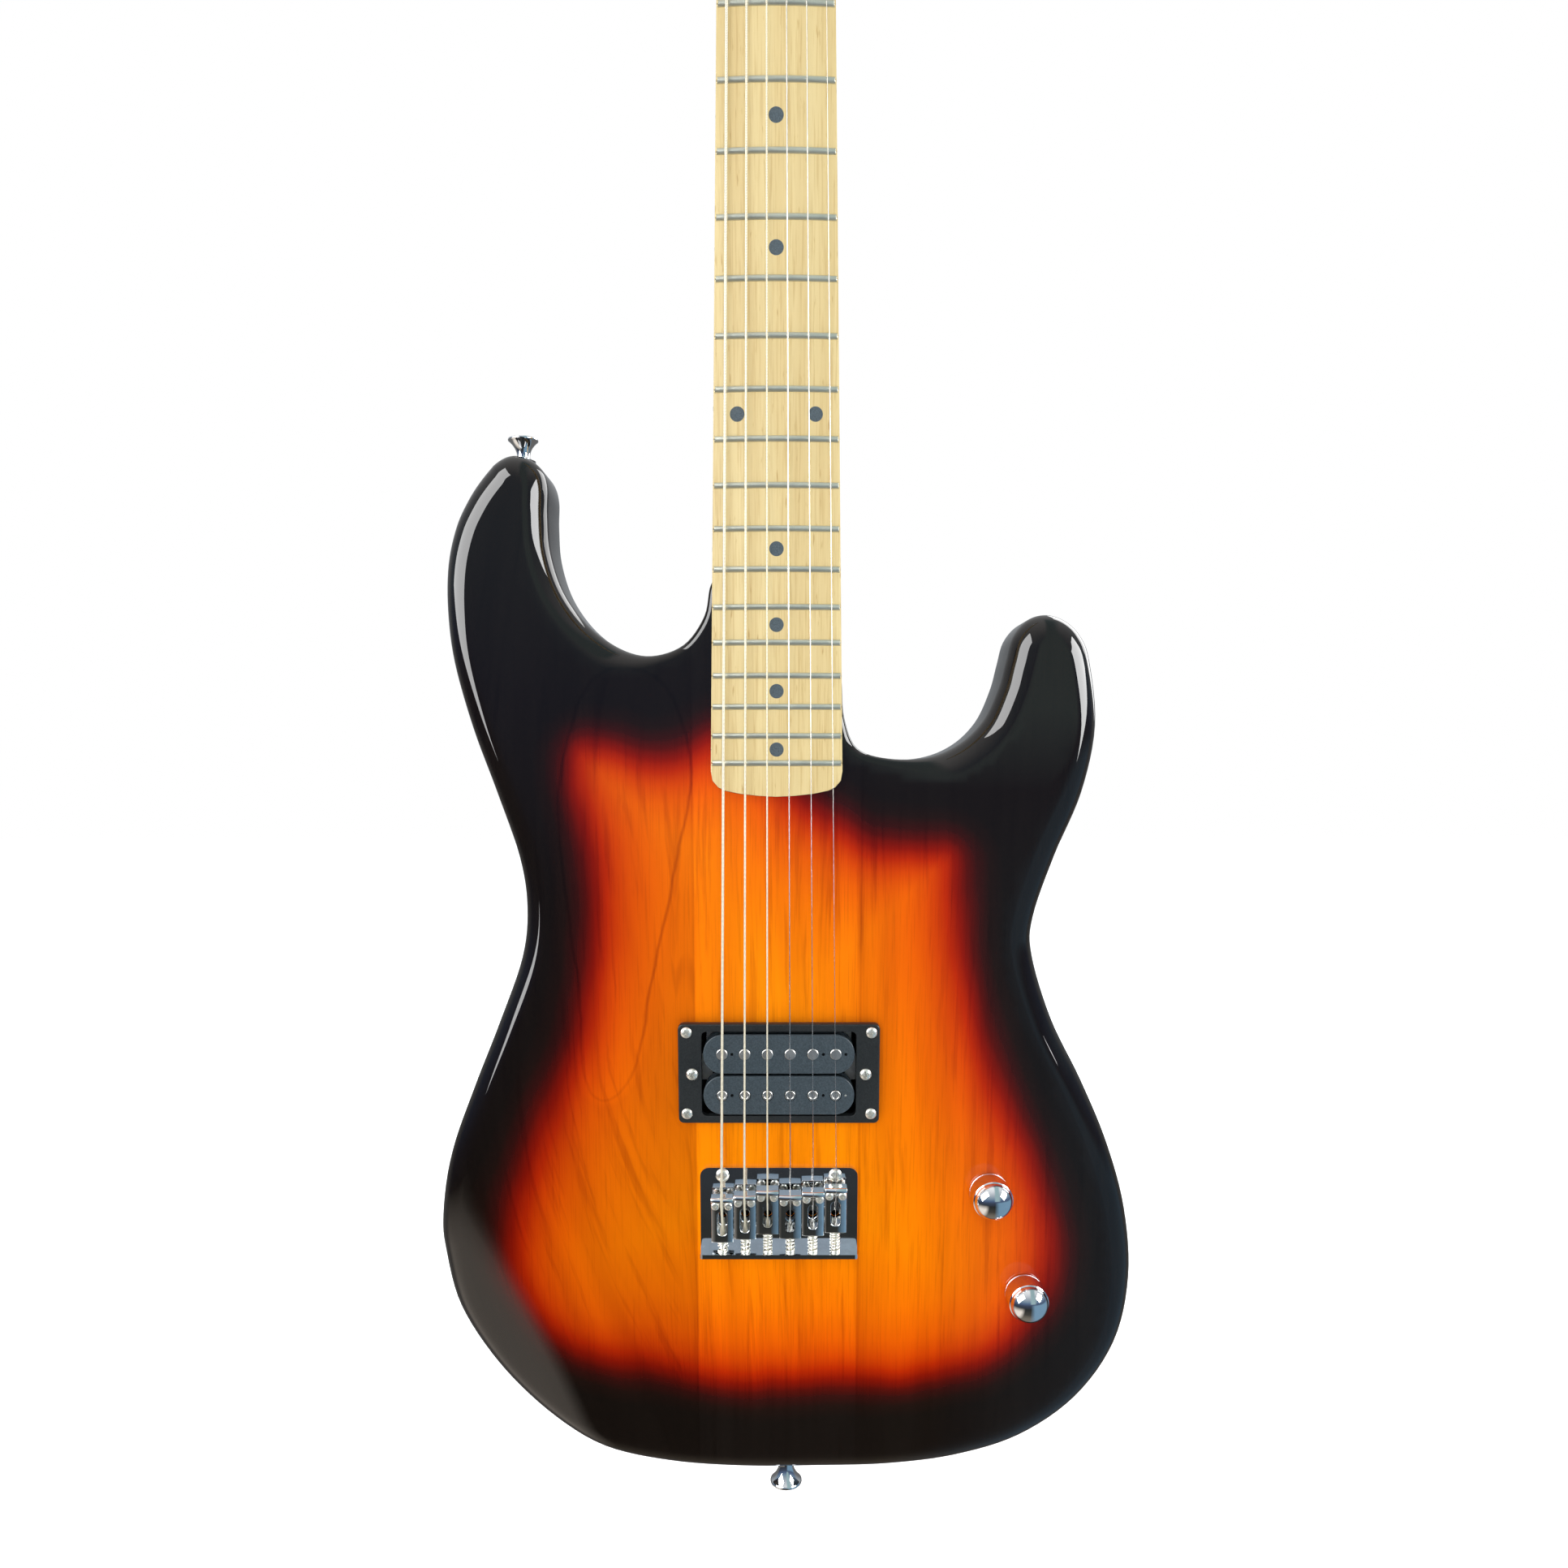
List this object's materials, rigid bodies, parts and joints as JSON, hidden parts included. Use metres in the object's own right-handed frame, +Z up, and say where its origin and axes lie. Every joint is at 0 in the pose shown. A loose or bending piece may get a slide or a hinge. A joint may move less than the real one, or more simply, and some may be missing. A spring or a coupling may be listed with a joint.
{
  "type": "electric guitar",
  "caption": "Solid-body electric guitar with a bolt-on maple neck, ring-mounted humbucker, hardtail bridge, domed knobs and in-line tuners.",
  "frame": {"origin": "centreline of the neck at the nut's front edge, on the fingerboard's surface, where a wall hanger's yoke holds the neck under the headstock", "axes": "+Z up along the neck to the headstock, +X to the treble side, -Y out of the front, so +Y goes into the body"},
  "size_m": [0.3252, 0.0659, 0.9916],
  "materials": {
    "body_lacquer": "very glossy clear lacquer over a burst stain, amber to near black",
    "maple": "pale maple under satin lacquer",
    "nut_white": "satin off-white",
    "black_plastic": "black, semi-gloss",
    "coil_black": "black, satin, finely grained",
    "nickel": "satin nickel plate",
    "string_steel": "bright wound and plain steel",
    "steel": "bright steel",
    "chrome": "polished chrome plate"
  },
  "bodies": {
    "guitar": {"body": "body_lacquer", "neck": "maple", "fingerboard": "maple", "truss_rod": "steel", "nut": "nut_white", "neck_plate": "chrome", "neck_screw_1": "steel", "neck_screw_2": "steel", "neck_screw_3": "steel", "neck_screw_4": "steel", "control_cover": "black_plastic", "pickup_ring": "black_plastic", "pickup_height_screw_1": "steel", "pickup_height_screw_2": "steel", "bridge_plate": "chrome", "jack_plate": "chrome", "jack_socket": "steel", "strap_button_upper": "chrome", "strap_button_lower": "chrome", "volume_pot": "steel", "tone_pot": "steel", "string_tree": "chrome", "string_1": "string_steel", "string_2": "string_steel", "string_3": "string_steel", "string_4": "string_steel", "string_5": "string_steel", "string_6": "string_steel", "tuner_housing_1": "chrome", "tuner_housing_2": "chrome", "tuner_housing_3": "chrome", "tuner_housing_4": "chrome", "tuner_housing_5": "chrome", "tuner_housing_6": "chrome"},
    "volume_knob": {"volume_knob": "chrome", "volume_shaft": "steel"},
    "tone_knob": {"tone_knob": "chrome", "tone_shaft": "steel"},
    "pickup": {"neck_side_coil": "coil_black", "bridge_side_coil": "coil_black", "pickup_magnet": "steel", "pickup_baseplate": "nickel"},
    "saddle_1": {"saddle_1": "chrome"},
    "tuner_key_1": {"tuner_key_1": "chrome"},
    "tuner_post_1": {"tuner_post_1": "steel"},
    "saddle_2": {"saddle_2": "chrome"},
    "tuner_key_2": {"tuner_key_2": "chrome"},
    "tuner_post_2": {"tuner_post_2": "steel"},
    "saddle_3": {"saddle_3": "chrome"},
    "tuner_key_3": {"tuner_key_3": "chrome"},
    "tuner_post_3": {"tuner_post_3": "steel"},
    "saddle_4": {"saddle_4": "chrome"},
    "tuner_key_4": {"tuner_key_4": "chrome"},
    "tuner_post_4": {"tuner_post_4": "steel"},
    "saddle_5": {"saddle_5": "chrome"},
    "tuner_key_5": {"tuner_key_5": "chrome"},
    "tuner_post_5": {"tuner_post_5": "steel"},
    "saddle_6": {"saddle_6": "chrome"},
    "tuner_key_6": {"tuner_key_6": "chrome"},
    "tuner_post_6": {"tuner_post_6": "steel"}
  },
  "joints": [
    {"name": "volume_turn", "type": "hinge", "parent": "guitar", "child": "volume_knob", "pos_m": [0.0968, 0.0095, -0.6492], "axis": [0, -1, 0], "range_deg": [-150, 150]},
    {"name": "tone_turn", "type": "hinge", "parent": "guitar", "child": "tone_knob", "pos_m": [0.1143, 0.0095, -0.6978], "axis": [0, -1, 0], "range_deg": [-150, 150]},
    {"name": "pickup_height", "type": "slide", "parent": "guitar", "child": "pickup", "axis": [0, -1, 0], "range_m": [-0.002, 0.002]},
    {"name": "saddle_1_intonation", "type": "slide", "parent": "guitar", "child": "saddle_1", "axis": [0, 0, -1], "range_m": [-0.002, 0.002]},
    {"name": "saddle_2_intonation", "type": "slide", "parent": "guitar", "child": "saddle_2", "axis": [0, 0, -1], "range_m": [-0.002, 0.002]},
    {"name": "saddle_3_intonation", "type": "slide", "parent": "guitar", "child": "saddle_3", "axis": [0, 0, -1], "range_m": [-0.002, 0.002]},
    {"name": "saddle_4_intonation", "type": "slide", "parent": "guitar", "child": "saddle_4", "axis": [0, 0, -1], "range_m": [-0.002, 0.002]},
    {"name": "saddle_5_intonation", "type": "slide", "parent": "guitar", "child": "saddle_5", "axis": [0, 0, -1], "range_m": [-0.002, 0.002]},
    {"name": "saddle_6_intonation", "type": "slide", "parent": "guitar", "child": "saddle_6", "axis": [0, 0, -1], "range_m": [-0.002, 0.002]},
    {"name": "tuner_1_key", "type": "hinge", "parent": "guitar", "child": "tuner_key_1", "pos_m": [-0.02216, 0.0272, 0.02484], "axis": [-0.968, 0, 0.2511], "continuous": true},
    {"name": "tuner_1_post", "type": "hinge", "parent": "guitar", "child": "tuner_post_1", "pos_m": [-0.0203, 0.008, 0.032], "axis": [0, -1, 0], "continuous": true},
    {"name": "tuner_2_key", "type": "hinge", "parent": "guitar", "child": "tuner_key_2", "pos_m": [-0.01563, 0.0272, 0.05001], "axis": [-0.968, 0, 0.2511], "continuous": true},
    {"name": "tuner_2_post", "type": "hinge", "parent": "guitar", "child": "tuner_post_2", "pos_m": [-0.01377, 0.008, 0.05717], "axis": [0, -1, 0], "continuous": true},
    {"name": "tuner_3_key", "type": "hinge", "parent": "guitar", "child": "tuner_key_3", "pos_m": [-0.0091, 0.0272, 0.07518], "axis": [-0.968, 0, 0.2511], "continuous": true},
    {"name": "tuner_3_post", "type": "hinge", "parent": "guitar", "child": "tuner_post_3", "pos_m": [-0.00724, 0.008, 0.08234], "axis": [0, -1, 0], "continuous": true},
    {"name": "tuner_4_key", "type": "hinge", "parent": "guitar", "child": "tuner_key_4", "pos_m": [-0.00257, 0.0272, 0.10035], "axis": [-0.968, 0, 0.2511], "continuous": true},
    {"name": "tuner_4_post", "type": "hinge", "parent": "guitar", "child": "tuner_post_4", "pos_m": [-0.00071, 0.008, 0.10751], "axis": [0, -1, 0], "continuous": true},
    {"name": "tuner_5_key", "type": "hinge", "parent": "guitar", "child": "tuner_key_5", "pos_m": [0.00396, 0.0272, 0.12552], "axis": [-0.968, 0, 0.2511], "continuous": true},
    {"name": "tuner_5_post", "type": "hinge", "parent": "guitar", "child": "tuner_post_5", "pos_m": [0.00582, 0.008, 0.13268], "axis": [0, -1, 0], "continuous": true},
    {"name": "tuner_6_key", "type": "hinge", "parent": "guitar", "child": "tuner_key_6", "pos_m": [0.01049, 0.0272, 0.15069], "axis": [-0.968, 0, 0.2511], "continuous": true},
    {"name": "tuner_6_post", "type": "hinge", "parent": "guitar", "child": "tuner_post_6", "pos_m": [0.01235, 0.008, 0.15785], "axis": [0, -1, 0], "continuous": true}
  ],
  "couplings": [
    {"joint": "tuner_1_post", "follows": "tuner_1_key", "ratio": 0.071429},
    {"joint": "tuner_2_post", "follows": "tuner_2_key", "ratio": 0.071429},
    {"joint": "tuner_3_post", "follows": "tuner_3_key", "ratio": 0.071429},
    {"joint": "tuner_4_post", "follows": "tuner_4_key", "ratio": 0.071429},
    {"joint": "tuner_5_post", "follows": "tuner_5_key", "ratio": 0.071429},
    {"joint": "tuner_6_post", "follows": "tuner_6_key", "ratio": 0.071429}
  ]
}
